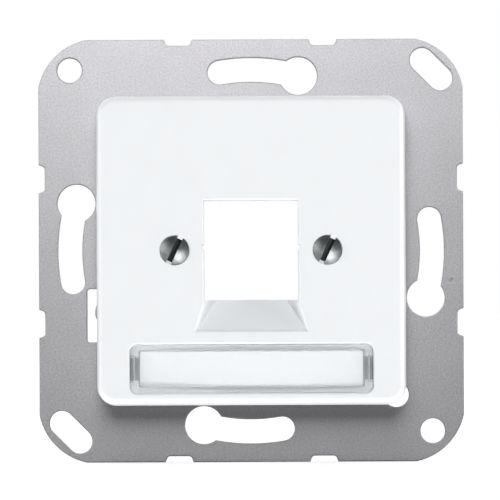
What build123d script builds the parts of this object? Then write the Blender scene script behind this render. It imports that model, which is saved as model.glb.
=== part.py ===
from build123d import *
from math import atan, cos, degrees, radians, sin, sqrt, tan
import os

# Data outlet cover plate, in millimetres, upright as it is fixed to a wall.
# X runs to the right, Z up, and the front faces -Y. The rear face of the steel
# frame is the plane Y = 0, and the origin is the middle of its hole pattern.

# Steel support frame, punched from sheet
frame_width = 70.4
frame_height = 70.1
sheet = 1.2
edge_break = 0.15
corner_radius = 10.1
corner_inset = 9.9
notch_pitch = 24.0
notch_mouth = 4.65
notch_floor = 3.9
notch_depth = 1.0
notch_round = 0.6

# How far the screw centres stay in from the frame's sides and from its ends
side_margin = 5.2
end_margin = 5.05

# Keyhole slots for the wall box screws, curved about the middle
box_slot_width = 4.0
box_entry_diameter = 6.3
box_entry_angle = 15.3
box_slot_angle = 9.8

# Round and oblong fixing holes near the corners
corner_hole_diameter = 4.1
corner_slot_travel = 4.2
inner_hole_inset = 6.0
punch_mark_diameter = 0.8
punch_mark_depth = 0.3
punch_mark_margin = 2.0
punch_mark_drop = 5.1

# Middle opening of the frame, and the window with its screw lug
jack_gap = 2.0
opening_corner = 1.0
lug_window_margin = 8.0
lug_window_right = 14.6
lug_window_top = 6.3
lug_window_bottom = 15.1
lug_window_corner = 0.4
lug_radius = 3.3
lug_gap = 1.3
lug_drop = 10.15
lug_hole_diameter = 2.5

# Moulded cover: a drafted shell, wider at its rear rim
cover_front = 50.0
cover_rear = 51.2
cover_corner = 3.3
cover_depth = 8.2
rim_gap = 0.8
face_thickness = 2.0
skirt_thickness = 1.6
edge_round = 0.95
rib_thickness = 1.0
rib_depth = 3.0
foot_diameter = 2.6
foot_pitch = 43.0

# Jack port, with the sloping recess below it for a plug's latch
port_width = 15.5
port_height = 16.4
port_wall = 1.4
mouth_bevel = 0.18
ramp_drop = 5.05
ramp_lead = 0.65
ramp_depth = 5.2
ramp_mouth_width = 18.3
ramp_floor_width = 11.8
ramp_wall = 1.5
key_height = 0.8
key_depth = 0.35
key_rise = 0.5
latch_window_width = 6.0
latch_window_depth = 1.3

# Cover screws and the bosses that they pass through
screw_pitch = 25.0
thread_diameter = 3.0
thread_clearance = 0.05
shank_clearance = 0.2
boss_wall = 1.9
collar_wall = 0.85
collar_length = 1.2
screw_tail = 0.8
screw_point = 0.4
head_diameter = 4.9
head_cone_angle = 90.0
head_clearance = 0.05
head_rim = 0.3
head_rim_chamfer = 0.12
head_crown = 0.5
driver_slot_width = 0.9
driver_slot_depth = 1.25
driver_slot_angle = 65.0

# Label pocket, its clear window and the card under it
window_width = 39.7
window_height = 8.0
window_corner = 1.2
window_drop = 19.4
window_proud = 0.1
window_clearance = 0.1
window_plate = 1.0
window_end_wall = 1.35
window_long_wall = 0.95
window_edge_round = 0.25
pocket_depth = 2.6
pocket_floor = 1.2
pocket_wall = 1.3
tongue_height = 3.6
tongue_thickness = 0.45
tongue_slit = 0.3
tongue_gap = 0.45
tongue_reach = 0.6
card_thickness = 0.25
card_clearance = 0.1

# Distances in front of the wall
cover_back = sheet + rim_gap
cover_face = cover_back + cover_depth
face_back = cover_face - face_thickness
pocket_bottom = cover_face - pocket_depth
pocket_back = pocket_bottom - pocket_floor
under_plate = cover_face + window_proud - window_plate
head_front = cover_face + head_rim + head_crown

# Sizes that follow from those above
fixing_x = frame_width / 2 - side_margin
fixing_z = frame_height / 2 - end_margin
lug_window_left = frame_width / 2 - lug_window_margin
lug_reach = lug_window_left - lug_gap - lug_radius
skirt_draft = degrees(atan((cover_rear - cover_front) / 2 / cover_depth))
screw_x = screw_pitch / 2
boss_diameter = thread_diameter + 2 * (shank_clearance + boss_wall)
boss_bore = thread_diameter + 2 * shank_clearance
collar_diameter = thread_diameter + 2 * (thread_clearance + collar_wall)
sleeve_width = port_width + 2 * port_wall
sleeve_height = port_height + 2 * port_wall
port_half_width = port_width / 2
port_half_height = port_height / 2
frame_opening_width = port_width + 2 * jack_gap
frame_opening_height = sleeve_height + 2 * jack_gap
pocket_width = window_width + 2 * window_clearance
pocket_height = window_height + 2 * window_clearance
card_width = window_width - 2 * (window_end_wall + card_clearance)
card_height = window_height - 2 * (window_long_wall + card_clearance)
beyond = 1.0


def slab(sketch, back, front):
    """A solid with the sketch's outline, between two distances from the wall."""
    return extrude(Plane.XZ.offset(back) * sketch, amount=front - back)


def mirrored(x):
    """The same distance to the left and to the right."""
    return (-x, x)


def frame_outline():
    """Square sheet whose corner arcs bulge a little past a plain rounded corner."""
    whole = Rectangle(frame_width, frame_height)
    outline = whole
    cut = corner_inset - sqrt(corner_radius**2 - corner_inset**2)
    for side_x in (-1, 1):
        for side_z in (-1, 1):
            corner = Pos(side_x * frame_width / 2, side_z * frame_height / 2)
            square = corner * Rectangle(2 * cut, 2 * cut)
            middle = Pos(-side_x * corner_inset, -side_z * corner_inset)
            disc = corner * middle * Circle(corner_radius)
            outline = outline - square + (disc & whole)
    return outline


def edge_notch():
    """Shallow notch with a narrower, rounded floor, open towards local +Y."""
    mouth = notch_mouth / 2
    floor = notch_floor / 2
    notch = Polygon(
        (-mouth, 0), (-floor, -notch_depth), (floor, -notch_depth), (mouth, 0), align=None
    )
    floor_corners = notch.vertices().group_by(Axis.Y)[0]
    notch = fillet(floor_corners, notch_round)
    return notch + Pos(0, beyond / 2) * Rectangle(notch_mouth, beyond)


def edge_notches():
    """Two notches in each of the four sides."""
    cuts = []
    for turn in range(4):
        half = frame_height / 2 if turn % 2 == 0 else frame_width / 2
        for along in mirrored(notch_pitch / 2):
            cuts.append(Rot(0, 0, 90 * turn) * Pos(along, half) * edge_notch())
    return cuts


def keyhole_slot(radius):
    """Upper slot, curved about the middle, with a wide entry at its clockwise end."""
    entry = 90 - box_entry_angle
    path = CenterArc((0, 0), radius, entry, box_entry_angle + box_slot_angle)
    entry_x = radius * cos(radians(entry))
    entry_z = radius * sin(radians(entry))
    return SlotArc(path, box_slot_width) + Pos(entry_x, entry_z) * Circle(box_entry_diameter / 2)


def keyhole_slots():
    """The same slot at the top, left, bottom and right."""
    cuts = []
    for turn in range(4):
        radius = fixing_z if turn % 2 == 0 else fixing_x
        cuts.append(Rot(0, 0, 90 * turn) * keyhole_slot(radius))
    return cuts


def corner_openings():
    """Round holes on one diagonal, oblong ones on the other, and the inner hole."""
    round_hole = Circle(corner_hole_diameter / 2)
    oblong = Rot(0, 0, -45) * SlotCenterToCenter(corner_slot_travel, corner_hole_diameter)
    return [
        Pos(-fixing_x, fixing_z) * round_hole,
        Pos(fixing_x, -fixing_z) * round_hole,
        Pos(fixing_x, fixing_z) * oblong,
        Pos(-fixing_x, -fixing_z) * oblong,
        Pos(fixing_x - inner_hole_inset, inner_hole_inset - fixing_z) * round_hole,
    ]


def jack_opening():
    """Middle opening that lets the jack and the cover's sleeve through."""
    opening = Rectangle(frame_opening_width, frame_opening_height)
    return fillet(opening.vertices(), opening_corner)


def lug_window():
    """Side window of the frame, with a round-ended lug left standing in it."""
    width = lug_window_left - lug_window_right
    height = lug_window_bottom - lug_window_top
    window = fillet(Rectangle(width, height).vertices(), lug_window_corner)
    middle_x = -(lug_window_left + lug_window_right) / 2
    middle_z = -(lug_window_top + lug_window_bottom) / 2
    root = lug_reach - lug_window_right
    stem = Pos(-lug_reach + root / 2, -lug_drop) * Rectangle(root, 2 * lug_radius)
    tip = Pos(-lug_reach, -lug_drop) * Circle(lug_radius)
    bore = Pos(-lug_reach, -lug_drop) * Circle(lug_hole_diameter / 2)
    return Pos(middle_x, middle_z) * window - stem - tip + bore


def support_frame():
    """Punched sheet with two threaded collars drawn out of its rear."""
    cuts = edge_notches() + keyhole_slots() + corner_openings()
    cuts += [jack_opening(), lug_window()]
    plate = slab(frame_outline() - cuts, 0, sheet)
    front_edges = plate.faces().sort_by(Axis.Y)[0].edges()
    plate = chamfer(front_edges, edge_break)
    collar = Circle(collar_diameter / 2)
    bore = Circle(thread_diameter / 2 + thread_clearance)
    collars = [slab(Pos(x, 0) * collar, -collar_length, 0) for x in mirrored(screw_x)]
    bores = [
        slab(Pos(x, 0) * bore, -collar_length - beyond, sheet + beyond) for x in mirrored(screw_x)
    ]
    mark_x = frame_width / 2 - punch_mark_margin
    mark = Pos(mark_x, -punch_mark_drop) * Circle(punch_mark_diameter / 2)
    dimple = slab(mark, sheet - punch_mark_depth, sheet + beyond)
    return plate + collars - (bores + [dimple])


def drafted_block(rear, corner, back, front):
    """Block with rounded corners that narrows from its rear to its front."""
    outline = Plane.XZ.offset(back) * RectangleRounded(rear, rear, corner)
    return extrude(outline, amount=front - back, taper=skirt_draft)


def cover_shell():
    """Open-backed shell with a drafted skirt and a rounded front edge."""
    outer = drafted_block(cover_rear, cover_corner, cover_back, cover_face)
    front_edges = outer.faces().sort_by(Axis.Y)[0].edges()
    outer = fillet(front_edges, edge_round)
    flare = beyond * tan(radians(skirt_draft))
    hollow_rear = cover_rear - 2 * (skirt_thickness - flare)
    hollow_corner = cover_corner - skirt_thickness
    return outer - drafted_block(hollow_rear, hollow_corner, cover_back - beyond, face_back)


def ramp_profile(inset):
    """Side view of the ramp, lowered by an inset: X is depth, Y is height."""
    slope = sqrt(ramp_drop**2 + ramp_depth**2)
    lower = inset * slope / ramp_depth
    mouth_z = -port_half_height - ramp_drop - lower
    deep_z = -port_half_height - lower
    return mouth_z, deep_z


def ramp_housing():
    """Wall that carries the ramp behind the face, from its mouth to the sleeve."""
    mouth_z, deep_z = ramp_profile(ramp_wall)
    deep_at = cover_face - ramp_depth
    half = ramp_mouth_width / 2 + ramp_wall
    side = Polygon(
        (-cover_face, mouth_z),
        (-deep_at, deep_z),
        (-deep_at, -port_half_height),
        (-cover_face, -port_half_height),
        align=None,
    )
    wedge = extrude(Plane.YZ.offset(-half) * side, amount=2 * half)
    behind_face = slab(Rectangle(cover_front, cover_front), cover_back, face_back + beyond / 2)
    return wedge & behind_face


def ramp_recess():
    """Space above the ramp: a trapezium at the face, a narrower one at its deep end."""
    rise = port_half_height
    mouth_flare = (ramp_mouth_width - port_width) / 2 / (ramp_drop - ramp_lead)

    def trapezium(bottom_half, bottom_z):
        top_half = bottom_half + mouth_flare * bottom_z
        return Polygon(
            (-bottom_half, bottom_z), (bottom_half, bottom_z), (top_half, 0), (-top_half, 0), align=None
        )

    mouth = Plane.XZ.offset(cover_face) * trapezium(ramp_mouth_width / 2, -rise - ramp_drop)
    deep = Plane.XZ.offset(cover_face - ramp_depth) * trapezium(ramp_floor_width / 2, -rise)
    return loft([deep, mouth], ruled=True)


def ramp_lead_in():
    """Space where the port's sides run on a little before the ramp flares."""
    mouth_height = port_half_height + ramp_lead
    mouth = Pos(0, -mouth_height / 2) * Rectangle(port_width, mouth_height)
    deep = Pos(0, -port_half_height / 2) * Rectangle(ramp_floor_width, port_half_height)
    mouth_plane = Plane.XZ.offset(cover_face)
    deep_plane = Plane.XZ.offset(cover_face - ramp_depth)
    return loft([deep_plane * deep, mouth_plane * mouth], ruled=True)


def port_outline():
    """Edge of the port and the ramp below it, as seen on the face."""
    half = port_half_width
    mouth_half = ramp_mouth_width / 2
    flare_top = -port_half_height - ramp_lead
    ramp_bottom = -port_half_height - ramp_drop
    return Polygon(
        (-half, port_half_height),
        (-half, flare_top),
        (-mouth_half, ramp_bottom),
        (mouth_half, ramp_bottom),
        (half, flare_top),
        (half, port_half_height),
        align=None,
    )


def bevelled_mouth(outline):
    """Small bevel round an opening in the face, wider at the face itself."""
    inner = Plane.XZ.offset(cover_face - mouth_bevel) * outline
    outer = Plane.XZ.offset(cover_face) * offset(outline, mouth_bevel, kind=Kind.INTERSECTION)
    return loft([inner, outer], ruled=True)


def port_opening():
    """Rectangular way through the cover, with a key groove in each side."""
    opening = Rectangle(port_width, port_height)
    groove = Pos(0, key_rise) * Rectangle(port_width + 2 * key_depth, key_height)
    return slab(opening + groove, cover_back - beyond, cover_face + beyond)


def latch_windows():
    """Windows in the top and bottom of the sleeve, where the jack's latches catch."""
    width = latch_window_width
    tall = Rectangle(width, sleeve_height + 2 * beyond)
    middle = cover_back + port_wall
    return slab(tall, middle, middle + latch_window_depth)


def cover_ribs():
    """Stiffening ribs behind the face, from the sleeve and bosses to the skirt."""
    reach = cover_front / 2 - skirt_thickness / 2
    upper = reach - port_half_height
    outer = reach - screw_x
    ribs = []
    for x in mirrored(port_half_width + port_wall / 2):
        ribs.append(Pos(x, port_half_height + upper / 2) * Rectangle(rib_thickness, upper))
    for side in mirrored(1):
        middle = side * (screw_x + outer / 2)
        ribs.append(Pos(middle, 0) * Rectangle(outer, rib_thickness))
    return [slab(rib, face_back - rib_depth, face_back) for rib in ribs]


def cover_feet():
    """Four round feet that rest on the steel frame near the corners."""
    feet = []
    for x in mirrored(foot_pitch / 2):
        for z in mirrored(foot_pitch / 2):
            feet.append(slab(Pos(x, z) * Circle(foot_diameter / 2), sheet, face_back))
    return feet


def screw_bosses():
    """Two tubes that stand on the frame and carry the screw heads."""
    circle = Circle(boss_diameter / 2)
    return [slab(Pos(x, 0) * circle, sheet, face_back) for x in mirrored(screw_x)]


def cone_depth(mouth, bottom):
    """Depth at which a cone with the screw head's angle narrows from radius to radius."""
    return (mouth - bottom) / tan(radians(head_cone_angle / 2))


def screw_way(x):
    """Shank hole and countersink of one cover screw."""
    bore = boss_bore / 2
    mouth = head_diameter / 2 + head_clearance
    depth = cone_depth(mouth, bore)
    cone = Cone(bore, mouth, depth, align=(Align.CENTER, Align.CENTER, Align.MIN))
    countersink = Plane.XZ.offset(cover_face - depth) * Pos(x, 0) * cone
    return slab(Pos(x, 0) * Circle(bore), sheet - beyond, cover_face + beyond) + countersink


def label_tray():
    """Walls and floor of the label pocket behind the face."""
    outer = RectangleRounded(
        pocket_width + 2 * pocket_wall, pocket_height + 2 * pocket_wall, window_corner + pocket_wall
    )
    return slab(Pos(0, -window_drop) * outer, pocket_back, face_back)


def pocket_outline():
    """Edge of the label pocket, the window's own outline plus its clearance."""
    outline = RectangleRounded(pocket_width, pocket_height, window_corner + window_clearance)
    return Pos(0, -window_drop) * outline


def label_pocket():
    """Recess in the face that takes the window."""
    return slab(pocket_outline(), pocket_bottom, cover_face + beyond)


def tongue_ways():
    """Slots through the pocket's floor, one under each end of the window."""
    width = window_end_wall + window_clearance
    way = Rectangle(width, tongue_height + 2 * window_clearance)
    middles = mirrored((pocket_width - width) / 2)
    return [slab(Pos(x, -window_drop) * way, pocket_back - beyond, face_back) for x in middles]


def cover_plate():
    """One moulding: shell, port sleeve, ramp, bosses, feet, ribs and label pocket."""
    sleeve = slab(Rectangle(sleeve_width, sleeve_height), cover_back, face_back)
    walls = [sleeve, ramp_housing(), label_tray()]
    walls += screw_bosses() + cover_feet() + cover_ribs()
    cuts = [port_opening(), ramp_recess(), ramp_lead_in(), latch_windows(), label_pocket()]
    cuts += [bevelled_mouth(port_outline()), bevelled_mouth(pocket_outline())]
    cuts += [screw_way(x) for x in mirrored(screw_x)] + tongue_ways()
    return cover_shell() + walls - cuts


def tongue_cuts():
    """Cuts that leave a springy tongue in each short end of the window."""
    cuts = []
    outer = window_width / 2
    for side in mirrored(1):
        slit_x = outer - tongue_thickness - tongue_slit / 2
        slit = Pos(side * slit_x, 0) * Rectangle(tongue_slit, tongue_height + 2 * tongue_gap)
        cuts.append(slit)
        gap_x = outer - tongue_thickness / 2 + beyond / 2
        gap = Rectangle(tongue_thickness + beyond, tongue_gap)
        for z in mirrored((tongue_height + tongue_gap) / 2):
            cuts.append(Pos(side * gap_x, z) * gap)
    return cuts


def tongues():
    """Both tongues at full length, down through the pocket's floor."""
    tongue = Rectangle(tongue_thickness, tongue_height)
    middles = mirrored((window_width - tongue_thickness) / 2)
    return [slab(Pos(x, 0) * tongue, pocket_back - tongue_reach, under_plate) for x in middles]


def label_window():
    """Clear cap: a plate with walls all round that stand in the pocket."""
    front = cover_face + window_proud
    back = pocket_bottom + window_clearance / 2
    middle = Pos(0, -window_drop)
    body = slab(middle * RectangleRounded(window_width, window_height, window_corner), back, front)
    front_edges = body.faces().sort_by(Axis.Y)[0].edges()
    body = fillet(front_edges, window_edge_round)
    inner = Rectangle(
        window_width - 2 * window_end_wall, window_height - 2 * window_long_wall
    )
    cuts = [slab(middle * cut, back - beyond, under_plate) for cut in [inner] + tongue_cuts()]
    return body - cuts + [Pos(0, 0, -window_drop) * tongue for tongue in tongues()]


def label_card():
    """Paper strip that lies on the pocket floor inside the window's walls."""
    card = Pos(0, -window_drop) * Rectangle(card_width, card_height)
    return slab(card, pocket_bottom, pocket_bottom + card_thickness)


def screw_section():
    """Half section of a screw: shank, countersunk cone, narrow rim and crown."""
    shank = thread_diameter / 2
    head = head_diameter / 2
    neck = cone_depth(head, shank) - cover_face
    shoulder = -cover_face - head_rim
    tip = collar_length + screw_tail
    side = Polyline(
        (head - head_rim_chamfer, shoulder),
        (head, shoulder + head_rim_chamfer),
        (head, -cover_face),
        (shank, neck),
        (shank, tip - screw_point),
        (shank - screw_point, tip),
        (0, tip),
        (0, -head_front),
    )
    crown = TangentArc((0, -head_front), (head - head_rim_chamfer, shoulder), tangent=(1, 0))
    return make_face(side + crown)


def cover_screw(x):
    """Slotted screw with a raised countersunk head and a plain shank for its thread."""
    blank = revolve(screw_section(), Axis.Y)
    driver = Rot(0, 0, driver_slot_angle) * Rectangle(2 * head_diameter, driver_slot_width)
    driver_slot = slab(driver, head_front - driver_slot_depth, head_front + beyond)
    return Pos(x, 0, 0) * (blank - driver_slot)


parts = {
    "support_frame": support_frame(),
    "cover_plate": cover_plate(),
    "label_window": label_window(),
    "label_card": label_card(),
    "screw_left": cover_screw(-screw_x),
    "screw_right": cover_screw(screw_x),
}

os.makedirs("parts", exist_ok=True)
for name, solid in parts.items():
    export_step(solid, os.path.join("parts", name + ".step"))
    print(name, round(solid.volume, 1))
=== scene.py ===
import math

import bmesh
import bpy
from mathutils import Matrix, Vector


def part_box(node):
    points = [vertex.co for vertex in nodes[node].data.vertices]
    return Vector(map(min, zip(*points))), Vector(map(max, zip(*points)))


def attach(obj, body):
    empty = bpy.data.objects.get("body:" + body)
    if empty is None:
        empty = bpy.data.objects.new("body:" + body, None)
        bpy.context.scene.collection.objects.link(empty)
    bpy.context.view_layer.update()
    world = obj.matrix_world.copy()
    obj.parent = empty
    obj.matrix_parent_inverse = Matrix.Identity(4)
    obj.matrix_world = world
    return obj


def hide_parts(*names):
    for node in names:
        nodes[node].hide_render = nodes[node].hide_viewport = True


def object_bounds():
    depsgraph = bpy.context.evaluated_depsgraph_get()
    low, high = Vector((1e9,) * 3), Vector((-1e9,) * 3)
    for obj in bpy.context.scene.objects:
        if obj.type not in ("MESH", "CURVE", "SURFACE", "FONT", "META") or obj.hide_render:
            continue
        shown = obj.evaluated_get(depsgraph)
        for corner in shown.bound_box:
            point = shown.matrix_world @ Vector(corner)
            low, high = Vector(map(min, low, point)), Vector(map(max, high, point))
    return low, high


# The looks of a data outlet cover plate: a galvanised steel frame, a white moulded
# cover with its sloped port, a clear label window over a card, and two slotted screws.
# Metres, X to the right, Z up, the front towards -Y.

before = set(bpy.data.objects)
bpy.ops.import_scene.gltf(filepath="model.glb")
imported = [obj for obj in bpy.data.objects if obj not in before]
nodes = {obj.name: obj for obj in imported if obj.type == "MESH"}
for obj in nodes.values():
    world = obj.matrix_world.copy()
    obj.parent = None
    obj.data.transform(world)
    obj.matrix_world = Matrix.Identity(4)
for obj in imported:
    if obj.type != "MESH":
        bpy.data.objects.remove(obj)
cad_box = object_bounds()

MM = 0.001
IMAGE_SIDE = 500

# Colours
ZINC = (0.66, 0.65, 0.675)
NICKEL = (0.5, 0.53, 0.535)
COVER_WHITE = (0.86, 0.878, 0.896)
CARD_WHITE = (0.83, 0.84, 0.85)
WINDOW_PLATE = (0.97, 0.98, 0.985, 1.0)
# Painted shade: the window's walls are tinted darker than its plate, the end walls most, so that
# they show as dark lines
WINDOW_LONG_WALLS_PAINTED_SHADE = (0.84, 0.86, 0.87, 1.0)
WINDOW_END_WALLS_PAINTED_SHADE = (0.33, 0.34, 0.35, 1.0)
WINDOW_CLOUD = (0.9, 0.91, 0.92, 1.0)
WINDOW_SHADOW = (0.93, 0.935, 0.94, 1.0)
PURE_WHITE = (1.0, 1.0, 1.0, 1.0)

# Size of each material's grain or blotches, and how high its relief is
ZINC_GRAIN = 0.3 * MM
ZINC_CLOUD = 6.0 * MM
NICKEL_WEAR = 0.6 * MM
METAL_RELIEF = 0.02 * MM
COVER_CLOUD = 5.0 * MM
COVER_TEXTURE = 0.25 * MM
COVER_RELIEF = 0.004 * MM
CARD_FIBRE = 0.5 * MM
CARD_RELIEF = 0.02 * MM
WINDOW_BLOTCH = 1.5 * MM

# Driver slot of the screws: painted shade, darker colour down in the slot where shade falls.
# Where the painted shade fades in and out, in metres in front of the wall, and how dark it is
SLOT_MOUTH = 10.55 * MM
SLOT_SHADE = 10.2 * MM
SLOT_FLOOR = 9.75 * MM
SLOT_BACK = 9.4 * MM
SLOT_PAINTED_SHADE = 0.85

# Label window: the rounding of its inner and its outer edges, how cloudy its plastic is,
# which edges are flat, sharp or long, and how near two points are when they are one
WINDOW_FILLET = 0.4 * MM
FILLET_STEPS = 4
WINDOW_BEVEL = 0.1 * MM
BEVEL_STEPS = 2
WINDOW_HAZE = 0.18
FLAT_EDGE = math.radians(1.0)
SHARP_EDGE = math.radians(30.0)
LONG_EDGE = 5.0 * MM
WELD = 0.001 * MM

# A face of the window belongs to a wall when its normal points to the front or back by
# less than the first, and to an end wall when it points sideways by more than the second
WALL_DEPTH = 0.9
END_WALL_ACROSS = 0.3

# Label card: how far its ends and its middle stand off the pocket's floor, and its grid
CARD_LEFT_LIFT = 0.05 * MM
CARD_RIGHT_LIFT = 0.4 * MM
CARD_BOW = 0.6 * MM
CARD_COLUMNS = 60
CARD_ROWS = 4

# Camera: a long lens, almost square-on and a little low. The shift of the picture's
# middle is in pixels.
STEEL_FRONT = 1.2 * MM
CAMERA_DISTANCE = 0.6
PIXELS_PER_METRE = 6030.0
SENSOR = 36.0
CLIP_START = 0.01
CAMERA_AZIMUTH = 0.1
CAMERA_ELEVATION = -0.6
CAMERA_ROLL = 0.26
CENTRE_SHIFT_RIGHT = 1.1
CENTRE_SHIFT_DOWN = 0.5

# What each lamp lights
COVER = ["cover_plate"]
LABEL = ["clear_label_window", "bowed_label_card"]
SHEET = ["support_frame"]
SCREWS = ["screw_left", "screw_right"]
FLOOR = ["floor"]

# Lamps: azimuth, elevation, size, level and what it lights. Some make no bounced light
# or no highlights.
LAMP_DISTANCE = 0.7
DIRECT_ONLY = ["low_lamp"]
NO_HIGHLIGHT = ["left_edge_lamp", "right_edge_lamp", "low_lamp"]
LAMPS = {
    "high_lamp": (0.0, 39.0, 0.26, 0.475, COVER),
    "left_lamp": (-68.0, 0.0, 0.3, 0.16, COVER),
    "right_lamp": (68.0, 0.0, 0.3, 0.33, COVER),
    "left_edge_lamp": (-88.0, 0.0, 0.2, 0.3, COVER),
    "right_edge_lamp": (88.0, 0.0, 0.2, 0.22, COVER),
    "low_lamp": (0.0, -72.0, 0.3, 1.0, COVER),
    "rear_lamp": (-145.0, -30.0, 0.3, 0.2, COVER),
    "label_lamp": (0.0, 24.0, 0.3, 0.33, LABEL),
    "label_low_lamp": (0.0, -43.0, 0.12, 0.44, LABEL),
    "sheet_lamp": (-4.0, 30.5, 0.42, 0.56, SHEET),
    "screw_lamp": (12.0, -21.0, 0.18, 0.28, SCREWS),
    "screw_fill_lamp": (-50.0, 4.0, 0.6, 0.21, SCREWS),
    "floor_lamp": (-15.0, 58.0, 0.3, 0.4, FLOOR),
}

# Surroundings: how bright they are in front, in front as seen in a mirror, and behind.
# They turn from the one into the other over a range of the direction's Y.
WORLD_FRONT = 0.14
WORLD_FRONT_GLOSS = 0.03
WORLD_BEHIND = 1.0
AMBIENT_TURN = (-0.1, 0.3)
MIRRORED_TURN = (-0.45, 0.0)

# Floor: its size, its grey, and the glow that makes it white to the camera, which grows
# to 1 over a range of distances
FLOOR_SIDE = 6.0
FLOOR_TONE = 0.35
FLOOR_GLOW = 0.8
FLOOR_GLOW_RANGE = (0.12, 0.4)


class Value:
    """A socket of a node tree that takes part in sums as if it were a number."""

    def __init__(self, finish, socket):
        self.finish = finish
        self.socket = socket

    def sum(self, operation, *terms):
        return self.finish.node("Math", {"operation": operation}, dict(enumerate(terms)))

    def __add__(self, other):
        return self.sum("ADD", self, other)

    def __radd__(self, other):
        return self.sum("ADD", other, self)

    def __sub__(self, other):
        return self.sum("SUBTRACT", self, other)

    def __rsub__(self, other):
        return self.sum("SUBTRACT", other, self)

    def __mul__(self, other):
        return self.sum("MULTIPLY", self, other)

    def __rmul__(self, other):
        return self.sum("MULTIPLY", other, self)

    def larger(self, other):
        return self.sum("MAXIMUM", self, other)


class Finish:
    """A node tree that is built up node by node."""

    def __init__(self, tree):
        self.tree = tree
        self.tree.nodes.clear()

    def node(self, kind, settings=None, sockets=None, output=0):
        """One node: its settings first, then the value or link of each socket."""
        made = self.tree.nodes.new("ShaderNode" + kind)
        for name, setting in (settings or {}).items():
            setattr(made, name, setting)
        for name, value in (sockets or {}).items():
            if isinstance(value, Value):
                self.tree.links.new(value.socket, made.inputs[name])
            else:
                made.inputs[name].default_value = value
        return Value(self, made.outputs[output])

    def place(self):
        """Object coordinates, in metres."""
        return self.node("TexCoord", output="Object")

    def noise(self, place, size, detail=2.0, roughness=0.5):
        """Noise from 0 to 1 whose blotches are about the given size."""
        sockets = {"Vector": place, "Scale": 1.0 / size, "Detail": detail, "Roughness": roughness}
        return self.node("TexNoise", {"noise_dimensions": "3D"}, sockets)

    def fade(self, value, low, high):
        """Rises smoothly from 0 to 1 as a value goes from low to high."""
        sockets = {"Value": value, "From Min": low, "From Max": high}
        return self.node("MapRange", {"interpolation_type": "SMOOTHSTEP"}, sockets)

    def tint(self, colour, level):
        """A colour made brighter or darker by a level near 1."""
        shade = self.node("CombineXYZ", None, {"X": level, "Y": level, "Z": level})
        return self.node("VectorMath", {"operation": "MULTIPLY"}, {0: colour, 1: shade})

    def bump(self, height, distance, strength):
        """Relief from a height that runs from 0 to 1."""
        sockets = {"Height": height, "Distance": distance, "Strength": strength}
        return self.node("Bump", None, sockets)

    def principled(self, sockets):
        return self.node("BsdfPrincipled", None, sockets)

    def surface(self, shader):
        """Makes a shader the surface of the material."""
        output = self.tree.nodes.new("ShaderNodeOutputMaterial")
        self.tree.links.new(shader.socket, output.inputs["Surface"])


def new_finish(name):
    """An empty material and the builder of its nodes."""
    material = bpy.data.materials.new(name)
    material.use_nodes = True
    return material, Finish(material.node_tree)


def galvanised_steel():
    """Satin zinc with a fine mottled grain."""
    material, f = new_finish("galvanised_steel")
    place = f.place()
    grain = f.noise(place, ZINC_GRAIN, detail=3.0, roughness=0.65)
    cloud = f.noise(place, ZINC_CLOUD)
    level = 1.0 + 0.8 * (grain - 0.5) + 0.1 * (cloud - 0.5)
    shader = f.principled(
        {
            "Base Color": f.tint(ZINC, level),
            "Metallic": 1.0,
            "Roughness": 0.4 + 0.3 * (grain - 0.5),
            "Normal": f.bump(grain, METAL_RELIEF, 0.35),
        }
    )
    f.surface(shader)
    return material


def white_plastic():
    """Smooth moulded plastic, a cool white with a soft gloss."""
    material, f = new_finish("white_plastic")
    place = f.place()
    cloud = f.noise(place, COVER_CLOUD)
    texture = f.noise(place, COVER_TEXTURE)
    shader = f.principled(
        {
            "Base Color": f.tint(COVER_WHITE, 0.985 + 0.03 * cloud),
            "Roughness": 0.36 + 0.08 * texture,
            "IOR": 1.5,
            "Normal": f.bump(texture, COVER_RELIEF, 0.3),
        }
    )
    f.surface(shader)
    return material


def clear_plastic(name, colour, roughness):
    """Slightly cloudy clear plastic that lets the lamps through to the card."""
    material, f = new_finish(name)
    blotch = f.noise(f.place(), WINDOW_BLOTCH)
    clear = f.principled(
        {
            "Base Color": colour,
            "Roughness": roughness + 0.04 * blotch,
            "IOR": 1.49,
            "Transmission Weight": 1.0,
        }
    )
    cloudy = f.node("BsdfDiffuse", None, {"Color": WINDOW_CLOUD})
    plastic = f.node("MixShader", None, {0: WINDOW_HAZE, 1: clear, 2: cloudy})
    through = f.node("BsdfTransparent", None, {"Color": WINDOW_SHADOW})
    shadow = f.node("LightPath", output="Is Shadow Ray")
    f.surface(f.node("MixShader", None, {0: shadow, 1: plastic, 2: through}))
    return material


def white_card():
    """Uncoated white card with a faint fibre texture."""
    material, f = new_finish("white_card")
    stretched = f.node("Mapping", None, {"Vector": f.place(), "Scale": (1.0, 1.0, 3.0)})
    fibre = f.noise(stretched, CARD_FIBRE, detail=4.0, roughness=0.65)
    shader = f.principled(
        {
            "Base Color": f.tint(CARD_WHITE, 0.97 + 0.05 * fibre),
            "Roughness": 0.85,
            "Specular IOR Level": 0.3,
            "Normal": f.bump(fibre, CARD_RELIEF, 0.4),
        }
    )
    f.surface(shader)
    return material


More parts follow.
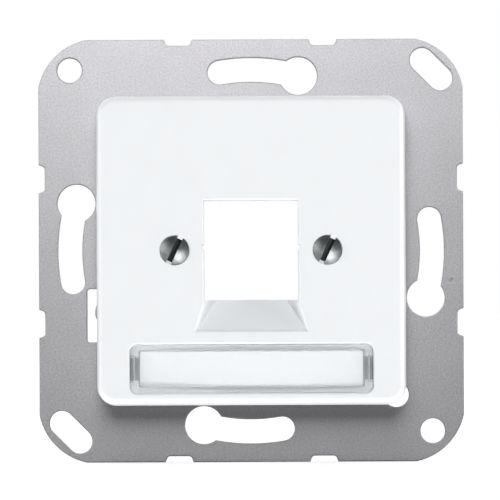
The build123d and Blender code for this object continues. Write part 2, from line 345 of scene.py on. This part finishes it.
def plated_steel():
    """Worn nickel plate, with shade painted into its colour down in the driver slot."""
    material, f = new_finish("plated_steel")
    place = f.place()
    wear = f.noise(place, NICKEL_WEAR, detail=3.0)
    depth = f.node("SeparateXYZ", None, {"Vector": place}, "Y")
    within = f.fade(depth, -SLOT_MOUTH, -SLOT_SHADE)
    beyond = f.fade(depth, -SLOT_FLOOR, -SLOT_BACK)
    # Painted shade: the plate's colour is darkened down in the driver slot, where shade falls
    slot = within * (1.0 - beyond)
    level = (0.65 + 0.7 * wear) * (1.0 - SLOT_PAINTED_SHADE * slot)
    shader = f.principled(
        {
            "Base Color": f.tint(NICKEL, level),
            "Metallic": 1.0,
            "Roughness": 0.24 + 0.24 * wear,
            "Normal": f.bump(wear, METAL_RELIEF, 0.3),
        }
    )
    f.surface(shader)
    return material


def dress(name, material):
    """Gives a node of the frame its finish."""
    finishes = nodes[name].data.materials
    finishes.clear()
    finishes.append(material)


def finished_piece(mesh, name, materials, body, replaced):
    """Turns a bmesh into a piece that takes the place of a node of the frame."""
    bmesh.ops.recalc_face_normals(mesh, faces=mesh.faces)
    data = bpy.data.meshes.new(name)
    mesh.to_mesh(data)
    mesh.free()
    for material in materials:
        data.materials.append(material)
    piece = bpy.data.objects.new(name, data)
    bpy.context.scene.collection.objects.link(piece)
    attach(piece, body)
    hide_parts(replaced)
    return piece


def weld(mesh):
    """Joins points that lie on each other and takes away the faces between them."""
    bmesh.ops.remove_doubles(mesh, verts=mesh.verts, dist=WELD)
    bmesh.ops.dissolve_degenerate(mesh, dist=WELD, edges=mesh.edges)


def soften(mesh, outer, size, segments, longer_than=0.0):
    """Rounds the sharp edges of a mesh, either the outer or the inner ones."""
    edges = [
        edge
        for edge in mesh.edges
        if edge.is_convex == outer
        and edge.calc_face_angle(0.0) > SHARP_EDGE
        and edge.calc_length() > longer_than
    ]
    bmesh.ops.bevel(
        mesh,
        geom=edges,
        offset=size,
        affect="EDGES",
        segments=segments,
        profile=0.5,
        material=-1,
        clamp_overlap=True,
    )
    weld(mesh)


def clear_window():
    """The label window with soft edges, as moulded plastic has them, and with walls tinted
    darker than its plate as painted shade, the end walls most, so that they show as dark lines.
    Its long inner edges are rounded first, because the narrow slits of the tongues limit the
    rounding of all that is rounded with them."""
    mesh = bmesh.new()
    mesh.from_mesh(nodes["label_window"].data)
    weld(mesh)
    bmesh.ops.dissolve_limit(mesh, angle_limit=FLAT_EDGE, verts=mesh.verts, edges=mesh.edges)
    soften(mesh, False, WINDOW_FILLET, FILLET_STEPS, LONG_EDGE)
    soften(mesh, False, WINDOW_FILLET, FILLET_STEPS)
    soften(mesh, True, WINDOW_BEVEL, BEVEL_STEPS)
    materials = [
        clear_plastic("clear_plastic", WINDOW_PLATE, 0.02),
        clear_plastic("clear_plastic_long_walls_painted_shade", WINDOW_LONG_WALLS_PAINTED_SHADE, 0.1),
        clear_plastic("clear_plastic_end_walls_painted_shade", WINDOW_END_WALLS_PAINTED_SHADE, 0.2),
    ]
    plate, long_wall, end_wall = range(len(materials))
    # Painted shade: faces of the walls and their roundings take the darker wall tints
    for face in mesh.faces:
        face.normal_update()
        wall = end_wall if abs(face.normal.x) > END_WALL_ACROSS else long_wall
        face.material_index = wall if abs(face.normal.y) < WALL_DEPTH else plate
    return finished_piece(
        mesh, "clear_label_window", materials, "window", "label_window"
    )


def card_lift(across):
    """How far the card stands off the pocket's floor, from -1 at its left end to 1 at
    its right end."""
    ends = CARD_LEFT_LIFT + (CARD_RIGHT_LIFT - CARD_LEFT_LIFT) * (across + 1.0) / 2.0
    return ends + CARD_BOW * (1.0 - across**2)


def paper_card():
    """The label card, bowed a little between the window's end walls."""
    low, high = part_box("label_card")
    width, thickness, height = high - low
    mesh = bmesh.new()
    bmesh.ops.create_grid(mesh, x_segments=CARD_COLUMNS, y_segments=CARD_ROWS, size=0.5)
    bmesh.ops.scale(mesh, verts=mesh.verts, vec=(width, height, 1.0))
    bmesh.ops.rotate(mesh, verts=mesh.verts, matrix=Matrix.Rotation(math.radians(90.0), 3, "X"))
    bmesh.ops.translate(
        mesh, verts=mesh.verts, vec=((low.x + high.x) / 2, high.y, (low.z + high.z) / 2)
    )
    bmesh.ops.solidify(mesh, geom=mesh.faces, thickness=thickness)
    for vertex in mesh.verts:
        across = 2.0 * (vertex.co.x - low.x) / width - 1.0
        vertex.co.y -= card_lift(across)
    return finished_piece(
        mesh, "bowed_label_card", [white_card()], "outlet", "label_card"
    )


def direction(azimuth, elevation):
    """Unit vector from the object, with azimuth from the front towards the right."""
    a = math.radians(azimuth)
    e = math.radians(elevation)
    return Vector((math.sin(a) * math.cos(e), -math.cos(a) * math.cos(e), math.sin(e)))


def aimed(place, target, roll=0.0):
    """Matrix of a camera or lamp at a place that looks at a target."""
    turn = (target - place).to_track_quat("-Z", "Y").to_matrix().to_4x4()
    return Matrix.Translation(place) @ turn @ Matrix.Rotation(math.radians(roll), 4, "Z")


def photo_camera():
    """Camera with the photograph's framing, on the front of the steel."""
    shift = Vector((-CENTRE_SHIFT_RIGHT, 0.0, CENTRE_SHIFT_DOWN)) / PIXELS_PER_METRE
    target = Vector((0.0, -STEEL_FRONT, 0.0)) + shift
    place = target + CAMERA_DISTANCE * direction(CAMERA_AZIMUTH, CAMERA_ELEVATION)
    data = bpy.data.cameras.new("photo_camera")
    data.sensor_width = SENSOR
    data.lens = PIXELS_PER_METRE * CAMERA_DISTANCE * SENSOR / IMAGE_SIDE
    data.clip_start = CLIP_START
    camera = bpy.data.objects.new("photo_camera", data)
    camera.matrix_world = aimed(place, target, -CAMERA_ROLL)
    bpy.context.scene.collection.objects.link(camera)
    bpy.context.scene.camera = camera


def lamp(name, azimuth, elevation, size, level):
    """Round soft lamp aimed at the object's middle. At level 1 a white surface
    square to it renders white."""
    data = bpy.data.lights.new(name, "AREA")
    data.shape = "DISK"
    data.size = size
    data.energy = level * (math.pi * LAMP_DISTANCE) ** 2
    light = bpy.data.objects.new(name, data)
    light.matrix_world = aimed(LAMP_DISTANCE * direction(azimuth, elevation), Vector())
    light.visible_camera = False
    light.visible_transmission = False
    bpy.context.scene.collection.objects.link(light)
    return light


def grouped(name, objects):
    """A collection of some objects."""
    group = bpy.data.collections.new(name)
    for thing in objects:
        group.objects.link(thing)
    return group


def lamps(made):
    """Every lamp, each for some of the frame's nodes or of the pieces made here. The
    screws throw no shadow on the cover."""
    things = dict(nodes)
    things.update({piece.name: piece for piece in made})
    casters = [thing for name, thing in things.items() if name not in SCREWS]
    shadows = grouped("cover_shadows", casters)
    for name, (azimuth, elevation, size, level, names) in LAMPS.items():
        light = lamp(name, azimuth, elevation, size, level)
        lit = grouped(name + "_lights", [things[each] for each in names])
        light.light_linking.receiver_collection = lit
        if names is COVER:
            light.light_linking.blocker_collection = shadows
        if name in DIRECT_ONLY:
            light.data.cycles.max_bounces = 0
        light.visible_glossy = name not in NO_HIGHLIGHT


def white_world():
    """Dim pale light in front, and a white background behind the object."""
    world = bpy.data.worlds.new("studio")
    world.use_nodes = True
    bpy.context.scene.world = world
    f = Finish(world.node_tree)
    towards = f.node("TexCoord", output="Generated")
    depth = f.node("SeparateXYZ", None, {"Vector": towards}, "Y")
    camera_ray = f.node("LightPath", output="Is Camera Ray")
    glossy_ray = f.node("LightPath", output="Is Glossy Ray")
    clear_ray = f.node("LightPath", output="Is Transmission Ray")
    behind = f.fade(depth, *AMBIENT_TURN)
    ambient = WORLD_FRONT + (WORLD_BEHIND - WORLD_FRONT) * behind
    around = f.fade(depth, *MIRRORED_TURN)
    mirrored = WORLD_FRONT_GLOSS + (WORLD_BEHIND - WORLD_FRONT_GLOSS) * around
    shiny = glossy_ray.larger(clear_ray)
    strength = camera_ray.larger(shiny * mirrored + (1.0 - shiny) * ambient)
    light = f.node("Background", None, {"Color": PURE_WHITE, "Strength": strength})
    output = f.tree.nodes.new("ShaderNodeOutputWorld")
    f.tree.links.new(light.socket, output.inputs["Surface"])


def pale_floor():
    """Plain pale floor under the object, as white as the background to the camera."""
    floor_height = cad_box[0].z
    bpy.ops.mesh.primitive_plane_add(size=FLOOR_SIDE, location=(0.0, 0.0, floor_height))
    floor = bpy.context.object
    floor.name = "floor"
    floor.visible_shadow = False
    material, f = new_finish("pale_floor")
    matt = f.node("BsdfDiffuse", None, {"Color": (FLOOR_TONE, FLOOR_TONE, FLOOR_TONE, 1.0)})
    camera_ray = f.node("LightPath", output="Is Camera Ray")
    away = f.node("VectorMath", {"operation": "LENGTH"}, {0: f.place()}, "Value")
    glow_level = FLOOR_GLOW + (1.0 - FLOOR_GLOW) * f.fade(away, *FLOOR_GLOW_RANGE)
    glow = f.node("Emission", None, {"Strength": camera_ray * glow_level})
    f.surface(f.node("AddShader", None, {0: matt, 1: glow}))
    floor.data.materials.append(material)
    return floor


dress("support_frame", galvanised_steel())
dress("cover_plate", white_plastic())
made = [clear_window(), paper_card()]
screw_finish = plated_steel()
dress("screw_left", screw_finish)
dress("screw_right", screw_finish)

white_world()
made.append(pale_floor())
lamps(made)
photo_camera()
bpy.context.scene.view_settings.view_transform = "Standard"
